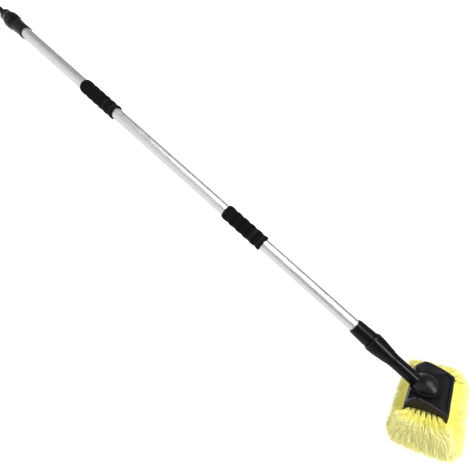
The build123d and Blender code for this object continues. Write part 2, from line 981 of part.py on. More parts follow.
def flat_pad(x_low, x_high, y_half):
    """Flat slice of backing, with its screw clearances and water holes."""
    pad = Pos((x_low + x_high) / 2, 0, plate_bottom_z) * Box(
        x_high - x_low,
        2 * y_half,
        pad_thickness,
        align=(Align.CENTER, Align.CENTER, Align.MAX),
    )
    for x, y in water_hole_places():
        if x_low < x < x_high:
            pad -= Pos(x, y, plate_bottom_z) * Cylinder(water_hole_radius, 4 * pad_thickness)
    for x, y in screw_places():
        if x_low < x < x_high:
            pad -= Pos(x, y, plate_bottom_z) * Cylinder(screw_head_radius, 4 * pad_thickness)
    return pad


def end_pad(side):
    """Bevelled slice of backing at one end, drawn in Y and Z."""
    rise = bevel_length * bevel_slope
    points = [
        (side * bevel_start, plate_bottom_z),
        (side * plate_half_length, plate_bottom_z + rise),
        (side * plate_half_length, pad_bottom_z + rise),
        (side * bevel_start, pad_bottom_z),
    ]
    profile = make_face(Polyline(*points, close=True))
    return extrude(Plane.YZ * profile, amount=plate_half_width, both=True)


def make_bristles(pad, places):
    """Tufts fused to their slice of backing."""
    strands = []
    for column, row in places:
        for turn in tuft_turns():
            strands.append(make_strand(root_place(column, row, turn), tip_place(column, row, turn)))
    return pad + strands


def bristle_nodes():
    """The five fields of tufts: middle, heel and toe rows, near and far ends."""
    inner_columns = range(1 - half_columns, half_columns)
    inner_rows = range(1 - half_rows, half_rows)
    all_rows = range(-half_rows, half_rows + 1)
    seam = row_pitch * (half_rows - 1 / 2)
    middle = [(column, row) for column in inner_columns for row in inner_rows]
    return {
        "bristles_middle": make_bristles(flat_pad(-seam, seam, bevel_start), middle),
        "bristles_heel": make_bristles(
            flat_pad(-plate_half_width, -seam, bevel_start),
            [(column, -half_rows) for column in inner_columns],
        ),
        "bristles_toe": make_bristles(
            flat_pad(seam, plate_half_width, bevel_start),
            [(column, half_rows) for column in inner_columns],
        ),
        "bristles_near_end": make_bristles(end_pad(-1), [(-half_columns, row) for row in all_rows]),
        "bristles_far_end": make_bristles(end_pad(1), [(half_columns, row) for row in all_rows]),
    }


# Resting place on the floor


def tip_points():
    """Every strand's tip, in the pole's frame."""
    cosine = math.cos(math.radians(head_angle))
    sine = math.sin(math.radians(head_angle))
    points = []
    for column in range(-half_columns, half_columns + 1):
        for row in range(-half_rows, half_rows + 1):
            for turn in tuft_turns():
                tip = tip_place(column, row, turn)
                x = head_x + socket_offset * cosine + tip.X * cosine - tip.Z * sine
                z = socket_offset * sine + tip.X * sine + tip.Z * cosine
                points.append((x, z - strand_tip_radius))
    return points


def resting_slope():
    """Slope of the pole when the adapter's ribs and the heel tips touch the floor."""
    rib_x = adapter_shoulder_x + adapter_rib_margin + adapter_barrel_taper
    barrel_radius = spigot_radius + fit_gap + adapter_skirt_wall + adapter_barrel_rise
    rib_z = -barrel_radius - adapter_rib_height
    return max(
        math.degrees(math.atan2(rib_z - z - floor_cut, x - rib_x)) for x, z in tip_points()
    )


def build():
    """All nodes in the pole's frame."""
    nodes = {
        "outer_tube": make_outer_tube(),
        "end_collar": make_end_collar(),
        "tube_washer": make_tube_washer(),
        "hose_adapter": make_hose_adapter(),
        "adapter_washer": make_adapter_washer(),
        "nipple_ring": make_nipple_ring(),
        "upper_grip": make_grip(-(upper_grip_start - grip_length)),
        "lower_grip": make_grip(-(lower_grip_start - grip_length)),
        "lock_collar": make_lock_collar(),
        "lock_collet": make_lock_collet(),
        "cone_nut": make_cone_nut(),
        "nut_wiper": make_nut_wiper(),
        "guide_bush": make_guide_bush(),
        "guide_seals": make_guide_seals(),
        "guide_plug": make_guide_plug(),
        "guide_clip": make_guide_clip(),
        "inner_tube": make_inner_tube(),
        "neck": make_neck(),
        "neck_washer": make_neck_washer(),
        "neck_ring": make_neck_ring(),
        "head_cover": in_head(make_head_cover()),
        "head_gasket": in_head(make_head_gasket()),
        "tuft_plate": in_head(make_tuft_plate()),
        "plate_screws": in_head(make_plate_screws()),
    }
    for name, bristles in bristle_nodes().items():
        nodes[name] = in_head(bristles)
    return nodes


def main():
    nodes = build()
    tilt = Rot(Y=-resting_slope())
    tilted = {name: tilt * shape for name, shape in nodes.items()}
    rest = tilted["hose_adapter"].bounding_box().min.Z
    far = max(shape.bounding_box().max.X for shape in tilted.values())
    near = min(shape.bounding_box().min.X for shape in tilted.values())
    place = Pos(-(far + near) / 2, 0, -rest)
    os.makedirs("parts", exist_ok=True)
    for name, shape in tilted.items():
        placed = place * shape
        if name.startswith("bristles"):
            reach = placed.bounding_box()
            placed -= Pos(reach.center().X, 0, 0) * Box(
                2 * reach.size.X,
                2 * reach.size.Y,
                reach.size.Z,
                align=(Align.CENTER, Align.CENTER, Align.MAX),
            )
        export_step(placed, f"parts/{name}.step")
    print("slope in degrees", resting_slope())
    print("pole's axis starts at x", -(far + near) / 2, "z", -rest)


if __name__ == "__main__":
    main()
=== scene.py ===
import json
import math

import bmesh
import bpy
import numpy as np
from bpy.props import (
    FloatProperty,
    FloatVectorProperty,
    IntProperty,
    PointerProperty,
)
from mathutils import Matrix, Vector


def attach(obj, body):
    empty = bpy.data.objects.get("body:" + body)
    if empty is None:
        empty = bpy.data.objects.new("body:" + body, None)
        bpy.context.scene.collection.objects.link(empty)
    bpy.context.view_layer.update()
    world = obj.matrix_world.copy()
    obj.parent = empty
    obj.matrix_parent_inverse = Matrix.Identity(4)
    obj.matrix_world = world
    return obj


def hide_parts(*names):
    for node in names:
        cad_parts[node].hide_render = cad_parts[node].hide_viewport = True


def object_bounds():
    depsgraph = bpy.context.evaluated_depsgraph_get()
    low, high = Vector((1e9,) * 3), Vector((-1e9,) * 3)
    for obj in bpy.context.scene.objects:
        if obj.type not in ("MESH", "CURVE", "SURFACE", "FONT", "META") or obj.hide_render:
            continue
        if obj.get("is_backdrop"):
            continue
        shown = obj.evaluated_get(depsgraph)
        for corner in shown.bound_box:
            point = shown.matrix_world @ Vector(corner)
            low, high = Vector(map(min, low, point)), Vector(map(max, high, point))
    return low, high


bl_info = {
    "name": "Telescopic wash broom",
    "version": (1, 0, 0),
    "blender": (4, 5, 0),
    "location": "3D View > Sidebar > Broom",
    "description": "Finishes, filaments and studio for a hose-fed telescopic broom",
    "category": "Object",
}

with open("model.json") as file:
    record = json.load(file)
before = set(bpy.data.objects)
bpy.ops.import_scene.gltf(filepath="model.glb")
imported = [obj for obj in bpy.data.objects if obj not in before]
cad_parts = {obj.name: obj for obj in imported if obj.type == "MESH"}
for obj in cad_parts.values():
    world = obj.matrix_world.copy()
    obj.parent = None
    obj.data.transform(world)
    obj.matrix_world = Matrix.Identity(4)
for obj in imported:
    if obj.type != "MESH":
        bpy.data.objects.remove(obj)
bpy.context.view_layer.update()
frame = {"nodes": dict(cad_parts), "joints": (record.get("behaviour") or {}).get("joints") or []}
nodes = frame["nodes"]
joints = {joint["name"]: joint for joint in frame["joints"]}

MM = 0.001

# The pole's frame: X runs along its axis to the head, and the nut's mouth is at this X.
NUT_MOUTH_X = 37.5 * MM
POLE_AXIS = Vector(joints["lock_turn"]["axis"]).normalized()
NUT_MOUTH = Vector(joints["lock_turn"]["pos_m"])
POLE_SLOPE = math.atan2(POLE_AXIS.z, POLE_AXIS.x)

# The head's frame: heel to toe along X, the block's length along Y, up from the disc along Z.
# The pole's axis bends up by HEAD_ANGLE at HEAD_X, and the frame starts HEAD_OFFSET after that.
HEAD_X = 148.0 * MM
HEAD_OFFSET = 14.0 * MM
HEAD_ANGLE = math.radians(45)


def pole_frame():
    """Matrix from the pole's frame to the broom's."""
    origin = NUT_MOUTH - POLE_AXIS * NUT_MOUTH_X
    return Matrix.Translation(origin) @ Matrix.Rotation(-POLE_SLOPE, 4, "Y")


def head_frame():
    """Matrix from the head's frame to the broom's."""
    along = HEAD_X + HEAD_OFFSET * math.cos(HEAD_ANGLE)
    up = HEAD_OFFSET * math.sin(HEAD_ANGLE)
    place = Matrix.Translation((along, 0, up))
    return pole_frame() @ place @ Matrix.Rotation(-HEAD_ANGLE, 4, "Y")


# Sizes and colours


class BroomTubeSettings(bpy.types.PropertyGroup):
    """Drawn aluminium tubes"""

    colour: FloatVectorProperty(
        name="Tube colour",
        description="Colour of the satin aluminium",
        subtype="COLOR",
        size=3,
        min=0,
        max=1,
        default=(0.50, 0.505, 0.51),
    )
    roughness: FloatProperty(
        name="Tube roughness",
        description="Roughness of the satin finish",
        subtype="FACTOR",
        min=0,
        max=1,
        default=0.38,
    )
    streaks: FloatProperty(
        name="Drawing lines",
        description="Depth of the fine lines along the tube",
        unit="LENGTH",
        default=0.00002,
    )


class BroomPlasticSettings(bpy.types.PropertyGroup):
    """Black mouldings, foam and rubber"""

    gloss_colour: FloatVectorProperty(
        name="Gloss colour",
        description="Colour of the glossy black mouldings",
        subtype="COLOR",
        size=3,
        min=0,
        max=1,
        default=(0.0018, 0.0018, 0.0026),
    )
    gloss_roughness: FloatProperty(
        name="Gloss roughness",
        description="Roughness of the glossy mouldings",
        subtype="FACTOR",
        min=0,
        max=1,
        default=0.2,
    )
    satin_colour: FloatVectorProperty(
        name="Satin colour",
        description="Colour of the head's satin moulding",
        subtype="COLOR",
        size=3,
        min=0,
        max=1,
        default=(0.0028, 0.0028, 0.0038),
    )
    satin_roughness: FloatProperty(
        name="Satin roughness",
        description="Roughness of the head's moulding",
        subtype="FACTOR",
        min=0,
        max=1,
        default=0.33,
    )
    foam_colour: FloatVectorProperty(
        name="Foam colour",
        description="Colour of the grips' foam",
        subtype="COLOR",
        size=3,
        min=0,
        max=1,
        default=(0.0028, 0.0034, 0.0052),
    )
    grip_pitch: FloatProperty(
        name="Grip pitch",
        description="Distance from one finger hump of a grip to the next",
        unit="LENGTH",
        min=0,
        default=0.0182,
    )
    grip_hump: FloatProperty(
        name="Grip hump",
        description="Height of a grip's finger humps",
        unit="LENGTH",
        min=0,
        default=0.0017,
    )
    foam_cell: FloatProperty(
        name="Foam cell",
        description="Size of the foam's open cells",
        unit="LENGTH",
        min=0,
        default=0.0009,
    )


class BroomBrushSettings(bpy.types.PropertyGroup):
    """Filaments, planted as tufts and trimmed to one rounded shape"""

    root_colour: FloatVectorProperty(
        name="Shaft colour",
        description="Colour of the filaments near the block",
        subtype="COLOR",
        size=3,
        min=0,
        max=1,
        default=(0.93, 0.84, 0.15),
    )
    tip_colour: FloatVectorProperty(
        name="Tip colour",
        description="Colour of the split, paler tips",
        subtype="COLOR",
        size=3,
        min=0,
        max=1,
        default=(1.0, 0.96, 0.43),
    )
    tip_shade: FloatVectorProperty(
        name="Tip shade",
        description="Deeper, greener colour in the mottled tips",
        subtype="COLOR",
        size=3,
        min=0,
        max=1,
        default=(0.86, 0.82, 0.27),
    )
    flagged_length: FloatProperty(
        name="Flagged length",
        description="Length of the split, paler part of a filament",
        unit="LENGTH",
        min=0,
        default=0.018,
    )
    end_zone_start: FloatProperty(
        name="Pale end's start",
        description="Distance along the block where the shafts start to turn pale",
        unit="LENGTH",
        default=0.056,
    )
    end_zone_full: FloatProperty(
        name="Pale end",
        description="Distance along the block from which all of a filament is pale",
        unit="LENGTH",
        default=0.092,
    )
    # Painted shadow: over this length from the root, the middle rows' filaments are coloured
    # darker, where shade falls deep in the brush.
    root_shadow_length: FloatProperty(
        name="Dark root",
        description="Length of the filaments' dark part deep in the brush",
        unit="LENGTH",
        min=0.001,
        default=0.017,
    )
    mottle_size: FloatProperty(
        name="Mottle size",
        description="Size of the mottling over the tips",
        unit="LENGTH",
        min=0,
        default=0.0028,
    )
    filaments: IntProperty(
        name="Filaments in a tuft",
        description="Filaments planted in each tuft",
        min=20,
        default=420,
    )
    thickness: FloatProperty(
        name="Filament thickness",
        description="Diameter of one filament",
        unit="LENGTH",
        min=0,
        default=0.0006,
    )
    root_radius: FloatProperty(
        name="Tuft radius",
        description="Radius of a tuft where it leaves the backing",
        unit="LENGTH",
        min=0,
        default=0.0031,
    )
    wisp_filaments: IntProperty(
        name="Filaments in a wisp",
        description="Filaments whose flagged tips cling together",
        min=1,
        default=3,
    )
    wisp_spread: FloatProperty(
        name="Wisp's spread",
        description="Scatter of a wisp's tips, in pitches of the tips' grid",
        min=0,
        default=0.09,
    )
    wisp_step: FloatProperty(
        name="Wisp's step",
        description="Most that a wisp ends short of the trimmed shape",
        unit="LENGTH",
        min=0,
        default=0.0012,
    )
    tip_curl: FloatProperty(
        name="Tip curl",
        description="How far the flagged tips wander from their line",
        unit="LENGTH",
        min=0,
        default=0.0019,
    )
    spread: FloatProperty(
        name="Tuft's spread",
        description="Reach of a tuft's tips about its own, in pitches of the tips' grid",
        min=0,
        default=0.75,
    )
    stray: FloatProperty(
        name="Stray",
        description="Scatter of the wisps beyond that, in pitches of the tips' grid",
        min=0,
        default=0.3,
    )
    end_shift: FloatProperty(
        name="End tufts' shift",
        description="How far the end tufts' roots sit towards the end of the plate",
        unit="LENGTH",
        default=0.002,
    )
    upright: FloatProperty(
        name="Upright share",
        description="How far a tuft leaves the plate squarely, instead of towards its tips",
        subtype="FACTOR",
        min=0,
        max=1,
        default=0.3,
    )
    fan_power: FloatProperty(
        name="Fan power",
        description="How late a tuft's filaments fan out: 1 from the root, more nearer the tips",
        min=1,
        default=1.9,
    )
    end_fan_power: FloatProperty(
        name="End fan power",
        description="The same for the end tufts, past the part that stays narrow",
        min=1,
        default=1.45,
    )
    held_share: FloatProperty(
        name="Held share",
        description="Share of an end tuft that stays narrow, up to the cover's opening",
        subtype="FACTOR",
        min=0,
        max=0.9,
        default=0.13,
    )
    straight_share: FloatProperty(
        name="Straight share",
        description="Share of a filament that leaves the tuft in the tuft's own direction",
        subtype="FACTOR",
        min=0,
        max=1,
        default=0.35,
    )
    half_columns: IntProperty(
        name="Columns each side",
        description="Columns of tufts each side of the middle one",
        min=1,
        default=5,
    )
    half_rows: IntProperty(
        name="Rows each side",
        description="Rows of tufts each side of the middle one",
        min=1,
        default=3,
    )
    column_pitch: FloatProperty(
        name="Column pitch",
        description="Distance between columns of tufts along the block",
        unit="LENGTH",
        default=0.0075,
    )
    row_pitch: FloatProperty(
        name="Row pitch",
        description="Distance between rows of tufts from heel to toe",
        unit="LENGTH",
        default=0.0079,
    )
    half_length: FloatProperty(
        name="Half length at the tips",
        description="Half of the brush's reach along the block",
        unit="LENGTH",
        default=0.098,
    )
    half_width: FloatProperty(
        name="Half width at the tips",
        description="Half of the brush's reach from heel to toe",
        unit="LENGTH",
        default=0.061,
    )
    depth: FloatProperty(
        name="Depth of the tips",
        description="Distance of the tips below the head's disc",
        unit="LENGTH",
        default=0.060,
    )
    corner: FloatProperty(
        name="Corner share",
        description="How far the outline's corners are drawn in",
        subtype="FACTOR",
        min=0,
        max=1,
        default=0.17,
    )
    end_lift: FloatProperty(
        name="Lift at the ends",
        description="How far the outermost end tips rise above the middle ones",
        unit="LENGTH",
        default=0.006,
    )
    side_lift: FloatProperty(
        name="Lift at the sides",
        description="How far the outermost side tips rise above the middle ones",
        unit="LENGTH",
        default=0.005,
    )
    face_rise: FloatProperty(
        name="End face's rise",
        description="How far the slanted face at each end climbs towards the block",
        unit="LENGTH",
        default=0.033,
    )
    face_slant: FloatProperty(
        name="End face's slant",
        description="How far that face leans back along the block",
        unit="LENGTH",
        default=0.02,
    )
    seed: IntProperty(
        name="Seed",
        description="Seed of the filaments' small differences",
        default=7,
    )


class BroomStageSettings(bpy.types.PropertyGroup):
    """Floor, lights and camera"""

    floor_colour: FloatVectorProperty(
        name="Floor colour",
        description="Colour of the studio floor",
        subtype="COLOR",
        size=3,
        min=0,
        max=1,
        default=(0.28, 0.28, 0.28),
    )
    floor_glow: FloatProperty(
        name="Floor glow",
        description="Light that comes through the translucent floor of the studio table",
        min=0,
        default=0.95,
    )
    sky: FloatProperty(
        name="Room light",
        description="Brightness of the white room round the table",
        min=0,
        default=0.5,
    )
    key_power: FloatProperty(
        name="Key light",
        description="Power of the large soft light above the camera",
        unit="POWER",
        min=0,
        default=118,
    )
    fill_power: FloatProperty(
        name="Fill light",
        description="Power of the soft light on the hose side",
        unit="POWER",
        min=0,
        default=48,
    )
    strip_power: FloatProperty(
        name="Strip light",
        description="Power of the small light that draws the mouldings' highlights",
        unit="POWER",
        min=0,
        default=55,
    )
    focal_pixels: FloatProperty(
        name="Focal length in pixels",
        description="The photograph's focal length, in pixels of its width",
        default=340,
    )


# Materials: noise scales are in cycles to the metre, depths in metres.

# The tube's drawing lines, along and across it, and how far its roughness varies.
LINES_SCALE = (6, 2600, 2600)
ROUGHNESS_DROP = 0.05
ROUGHNESS_RISE = 0.07
# Strength of the darkest drawing lines' colour, and of the foam's colour in and between its
# cells, a painted shade that is darker in the cells' pits and lighter on their rims.
LINE_SHADE = 0.93
PAINTED_CELL_SHADE = (0.35, 1.25)
# The hidden plastic is this much paler than the head's.
PLAIN_SHADE = 3
# The filaments' UV maps measure how far the tip and the root are in units of this.
FLAG_SPAN = 70 * MM
# Shares of the flagged length that is fully pale and of the painted root shadow that is fully
# dark, and the colour's strength in that painted shadow.
FULLY_PALE = 0.25
FULLY_SHADOWED = 0.35
ROOT_SHADE = 0.06


def new_material(name):
    """An empty material with its node tree and shader."""
    material = bpy.data.materials.new(name)
    material.use_nodes = True
    return material, material.node_tree, material.node_tree.nodes["Principled BSDF"]


def shaded(colour, strength=1.0):
    """A colour at some strength, with full alpha."""
    return (*[strength * channel for channel in colour], 1)


def set_inputs(node, values):
    """Set a node's named sockets."""
    for label, value in values.items():
        node.inputs[label].default_value = value


def add_node(tree, kind, values=None, **choices):
    """A shader node of this kind, with its choices made and then its sockets set."""
    node = tree.nodes.new("ShaderNode" + kind)
    for choice, value in choices.items():
        setattr(node, choice, value)
    set_inputs(node, values or {})
    return node


def group_shell(name, inputs, outputs):
    """A node group with its named sockets."""
    tree = bpy.data.node_groups.new(name, "ShaderNodeTree")
    for label, default in inputs.items():
        socket = tree.interface.new_socket(label, in_out="INPUT", socket_type="NodeSocketFloat")
        socket.default_value = default
    for label in outputs:
        tree.interface.new_socket(label, in_out="OUTPUT", socket_type="NodeSocketFloat")
    return tree, tree.nodes.new("NodeGroupInput"), tree.nodes.new("NodeGroupOutput")


def moulded_surface_group():
    """Fine moulded grain with a few handling marks: a height and a roughness mask."""
    tree, entry, out = group_shell(
        "Moulded surface",
        {"Grain scale": 900, "Mark scale": 40, "Roughness": 0.3, "Spread": 0.12},
        ("Height", "Roughness"),
    )
    place = add_node(tree, "TexCoord")
    grain = add_node(tree, "TexNoise", {"Detail": 3})
    marks = add_node(tree, "TexNoise", {"Detail": 6, "Roughness": 0.65})
    centred = add_node(tree, "Math", {1: 0.5}, operation="SUBTRACT")
    scaled = add_node(tree, "Math", operation="MULTIPLY_ADD")
    link = tree.links.new
    link(place.outputs["Object"], grain.inputs["Vector"])
    link(place.outputs["Object"], marks.inputs["Vector"])
    link(entry.outputs["Grain scale"], grain.inputs["Scale"])
    link(entry.outputs["Mark scale"], marks.inputs["Scale"])
    link(marks.outputs["Fac"], centred.inputs[0])
    link(centred.outputs[0], scaled.inputs[0])
    link(entry.outputs["Spread"], scaled.inputs[1])
    link(entry.outputs["Roughness"], scaled.inputs[2])
    link(grain.outputs["Fac"], out.inputs["Height"])
    link(scaled.outputs[0], out.inputs["Roughness"])
    return tree


def hard_material(name, shader_values, surface_values, strength, depth):
    """A hard material with the moulded surface group in its roughness and bump."""
    material, tree, shader = new_material(name)
    set_inputs(shader, shader_values)
    group = bpy.data.node_groups.get("Moulded surface") or moulded_surface_group()
    surface = add_node(tree, "Group", surface_values, node_tree=group)
    bump = add_node(tree, "Bump", {"Strength": strength, "Distance": depth})
    tree.links.new(surface.outputs["Height"], bump.inputs["Height"])
    tree.links.new(surface.outputs["Roughness"], shader.inputs["Roughness"])
    tree.links.new(bump.outputs["Normal"], shader.inputs["Normal"])
    return material


def gloss_material(settings):
    """Glossy black moulding."""
    return hard_material(
        "Glossy black moulding",
        {"Base Color": shaded(settings.gloss_colour), "Specular IOR Level": 0.12},
        {
            "Grain scale": 700,
            "Mark scale": 60,
            "Roughness": settings.gloss_roughness,
            "Spread": 0.14,
        },
        strength=0.15,
        depth=0.00003,
    )


def satin_material(settings):
    """Satin black moulding with a fine grain."""
    return hard_material(
        "Satin black moulding",
        {"Base Color": shaded(settings.satin_colour), "Specular IOR Level": 0.2},
        {
            "Grain scale": 1400,
            "Mark scale": 45,
            "Roughness": settings.satin_roughness,
            "Spread": 0.18,
        },
        strength=0.35,
        depth=0.00006,
    )


def dull_material(settings):
    """Plain black plastic of the hidden pieces."""
    return hard_material(
        "Plain black plastic",
        {"Base Color": shaded(settings.satin_colour, PLAIN_SHADE)},
        {"Grain scale": 1100, "Mark scale": 50, "Roughness": 0.55, "Spread": 0.15},
        strength=0.3,
        depth=0.00006,
    )


def rubber_material(settings):
    """Black rubber of the seals and washers."""
    return hard_material(
        "Black rubber",
        {"Base Color": shaded(settings.satin_colour), "Specular IOR Level": 0.35},
        {"Grain scale": 1800, "Mark scale": 80, "Roughness": 0.62, "Spread": 0.2},
        strength=0.3,
        depth=0.00004,
    )


def steel_material():
    """Zinc-plated steel of the screws and the clip."""
    return hard_material(
        "Plated steel",
        {"Base Color": (0.62, 0.62, 0.6, 1), "Metallic": 1},
        {"Grain scale": 900, "Mark scale": 120, "Roughness": 0.3, "Spread": 0.2},
        strength=0.2,
        depth=0.00003,
    )


def aluminium_material(settings):
    """Satin drawn aluminium with fine lines along the tube and faint scuffs."""
    material, tree, shader = new_material("Satin aluminium tube")
    shader.inputs["Metallic"].default_value = 1
    place = add_node(tree, "TexCoord")
    along = add_node(tree, "Mapping", {"Rotation": (0, POLE_SLOPE, 0), "Scale": LINES_SCALE})
    lines = add_node(tree, "TexNoise", {"Scale": 1, "Detail": 2})
    clouds = add_node(tree, "TexNoise", {"Scale": 55, "Detail": 5})
    level = add_node(
        tree,
        "MapRange",
        {
            "From Min": 0.3,
            "From Max": 0.7,
            "To Min": settings.roughness - ROUGHNESS_DROP,
            "To Max": settings.roughness + ROUGHNESS_RISE,
        },
    )
    tint = add_node(tree, "Mix", data_type="RGBA")
    tint.inputs["A"].default_value = shaded(settings.colour, LINE_SHADE)
    tint.inputs["B"].default_value = shaded(settings.colour)
    bump = add_node(tree, "Bump", {"Strength": 0.5, "Distance": settings.streaks})
    link = tree.links.new
    link(place.outputs["Object"], along.inputs["Vector"])
    link(along.outputs["Vector"], lines.inputs["Vector"])
    link(place.outputs["Object"], clouds.inputs["Vector"])
    link(clouds.outputs["Fac"], level.inputs["Value"])
    link(level.outputs["Result"], shader.inputs["Roughness"])
    link(lines.outputs["Fac"], tint.inputs["Factor"])
    link(tint.outputs["Result"], shader.inputs["Base Color"])
    link(lines.outputs["Fac"], bump.inputs["Height"])
    link(bump.outputs["Normal"], shader.inputs["Normal"])
    return material


def foam_material(settings):
    """Matt black foam with small open cells, with painted shade in their pits."""
    material, tree, shader = new_material("Black grip foam")
    set_inputs(shader, {"Roughness": 0.82, "Specular IOR Level": 0.15})
    place = add_node(tree, "TexCoord")
    cells = add_node(tree, "TexVoronoi", {"Scale": 1 / settings.foam_cell})
    fine = add_node(tree, "TexNoise", {"Scale": 2 / settings.foam_cell, "Detail": 4})
    mixed = add_node(tree, "Math", operation="ADD")
    # Painted shade and light: the colour follows the bump's cell depth, darker in the pits and
    # lighter on the rims.
    shade = add_node(tree, "MapRange", {"From Min": 0, "From Max": 0.7})
    tint = add_node(tree, "Mix", data_type="RGBA")
    tint.inputs["A"].default_value = shaded(settings.foam_colour, PAINTED_CELL_SHADE[0])
    tint.inputs["B"].default_value = shaded(settings.foam_colour, PAINTED_CELL_SHADE[1])
    bump = add_node(tree, "Bump", {"Strength": 0.8, "Distance": 0.0004})
    link = tree.links.new
    link(place.outputs["Object"], cells.inputs["Vector"])
    link(place.outputs["Object"], fine.inputs["Vector"])
    link(cells.outputs["Distance"], mixed.inputs[0])
    link(fine.outputs["Fac"], mixed.inputs[1])
    link(mixed.outputs[0], bump.inputs["Height"])
    link(cells.outputs["Distance"], shade.inputs["Value"])
    link(shade.outputs["Result"], tint.inputs["Factor"])
    link(tint.outputs["Result"], shader.inputs["Base Color"])
    link(bump.outputs["Normal"], shader.inputs["Normal"])
    return material


def filament_material(settings):
    """Yellow filaments, deeper at the shaft and paler and mottled at the flagged tips, with a
    painted shadow at their roots deep in the brush.
    """
    material, tree, shader = new_material("Yellow filaments")
    set_inputs(
        shader,
        {
            "Roughness": 0.5,
            "Specular IOR Level": 0.35,
            "Subsurface Weight": 0.5,
            "Subsurface Radius": (1, 1, 0.4),
            "Subsurface Scale": 0.001,
        },
    )
    link = tree.links.new
    place = add_node(tree, "TexCoord")

    # Pale from the flagged length to the tip.
    filament = add_node(tree, "UVMap", uv_map="Filament")
    filament_parts = add_node(tree, "SeparateXYZ")
    flagged = settings.flagged_length / FLAG_SPAN
    tip_zone = add_node(
        tree,
        "MapRange",
        {"From Min": 1 - flagged, "From Max": 1 - flagged * FULLY_PALE},
        interpolation_type="SMOOTHSTEP",
    )
    link(filament.outputs["UV"], filament_parts.inputs["Vector"])
    link(filament_parts.outputs["Y"], tip_zone.inputs["Value"])

    # Pale along the whole filament in the outer part of both ends, where all are flagged.
    to_head = head_frame().inverted()
    in_head = add_node(
        tree, "Mapping", {"Location": to_head.to_translation(), "Rotation": to_head.to_euler()}
    )
    head_parts = add_node(tree, "SeparateXYZ")
    outward = add_node(tree, "Math", operation="ABSOLUTE")
    end_zone = add_node(
        tree,
        "MapRange",
        {"From Min": settings.end_zone_start, "From Max": settings.end_zone_full},
        interpolation_type="SMOOTHSTEP",
    )
    pale = add_node(tree, "Math", operation="MAXIMUM")
    link(place.outputs["Object"], in_head.inputs["Vector"])
    link(in_head.outputs["Vector"], head_parts.inputs["Vector"])
    link(head_parts.outputs["Y"], outward.inputs[0])
    link(outward.outputs[0], end_zone.inputs["Value"])
    link(tip_zone.outputs["Result"], pale.inputs[0])
    link(end_zone.outputs["Result"], pale.inputs[1])

    # The tips' mottling, then the shaft's colour under it.
    mottle = add_node(tree, "TexNoise", {"Scale": 1 / settings.mottle_size, "Detail": 3})
    level = add_node(tree, "MapRange", {"From Min": 0.35, "From Max": 0.65})
    tips = add_node(tree, "Mix", data_type="RGBA")
    tips.inputs["A"].default_value = shaded(settings.tip_shade)
    tips.inputs["B"].default_value = shaded(settings.tip_colour)
    tint = add_node(tree, "Mix", data_type="RGBA")
    tint.inputs["A"].default_value = shaded(settings.root_colour)
    link(place.outputs["Object"], mottle.inputs["Vector"])
    link(mottle.outputs["Fac"], level.inputs["Value"])
    link(level.outputs["Result"], tips.inputs["Factor"])
    link(pale.outputs[0], tint.inputs["Factor"])
    link(tips.outputs["Result"], tint.inputs["B"])

    # Each filament's own tone, then a painted shadow that darkens the roots deep in the brush.
    tone = add_node(tree, "MapRange", {"To Min": 0.88, "To Max": 1.06})
    toned = add_node(tree, "Mix", {"Factor": 1}, data_type="RGBA", blend_type="MULTIPLY")
    root = add_node(tree, "UVMap", uv_map="Root")
    root_parts = add_node(tree, "SeparateXYZ")
    dark = settings.root_shadow_length / FLAG_SPAN
    shadow = add_node(
        tree,
        "MapRange",
        {"From Min": FULLY_SHADOWED * dark, "From Max": dark, "To Min": ROOT_SHADE},
        interpolation_type="SMOOTHSTEP",
    )
    darkened = add_node(tree, "Mix", {"Factor": 1}, data_type="RGBA", blend_type="MULTIPLY")
    link(filament_parts.outputs["X"], tone.inputs["Value"])
    link(tint.outputs["Result"], toned.inputs["A"])
    link(tone.outputs["Result"], toned.inputs["B"])
    link(root.outputs["UV"], root_parts.inputs["Vector"])
    link(root_parts.outputs["X"], shadow.inputs["Value"])
    link(toned.outputs["Result"], darkened.inputs["A"])
    link(shadow.outputs["Result"], darkened.inputs["B"])
    link(darkened.outputs["Result"], shader.inputs["Base Color"])
    return material


# Making pieces

# A grip: its sides and steps, the power that rounds its humps, and its ends' rounded edge.
GRIP_SIDES = 64
GRIP_STEPS = 44
HUMP_POWER = 0.8
GRIP_EDGE = 1.1 * MM
GRIP_EDGE_STEPS = 3
SHARP_EDGE = math.radians(50)
SMOOTH_EDGE = math.radians(40)
# What lies within this many bores of the axis is on the bore's edge.
BORE_MARGIN = 1.01

# A filament: its sides and steps, and its tip's share of its thickness.
FILAMENT_SIDES = 3
FILAMENT_STEPS = 7
TIP_TAPER = 0.45

# The tuft plate's lower side: its drop below the disc, half of its flat part and its ends' bevel.
PLATE_DROP = 21 * MM
PLATE_FLAT_HALF = 33.95 * MM
PLATE_BEVEL = math.radians(47)

# The end tufts' rows are drawn together by this share, and the others hardly at all.
ROW_GATHER = 0.12
GATHER_POWER = 10
# Filaments start this deep inside the plate.
ROOT_DEPTH = 0.5 * MM
# An end tuft's share of the other tufts' radius, and the way it is drawn as it leaves the plate,
# turned from straight down: outwards and a little up, so that it arches through the opening.
END_TUFT_SHARE = 0.7
END_TUFT_LEAN = math.radians(123.0294)

# The brush's outline, in pitches of the tips' grid: how far inside the last column the brow of
# each slanted end face runs, and how far outside the last column or row the last tips reach.
BROW_INSET = 0.3
TIP_REACH = 0.36
# Power of the outline's rounding, higher for a squarer brush, and of its fading at the middle.
SQUARENESS = 6
CORNER_POWER = 2
# Share by which the slanted end face narrows towards the block.
FACE_NARROWING = 0.1

# Scatter of a wisp's roots, in radii of its tuft.
ROOT_SCATTER = 0.16
# Most that one filament ends short of its wisp, and what the shafts wander from their line.
LENGTH_SCATTER = 0.0008
SHAFT_WANDER = 0.0001
# A filament's own wander at its tip, as a share of its wisp's.
OWN_CURL = 0.6
# Share of a filament's tone that it has from its wisp.
WISP_TONE = 0.5
# Step of the seed for each letter of a piece's name.
SEED_STEP = 101
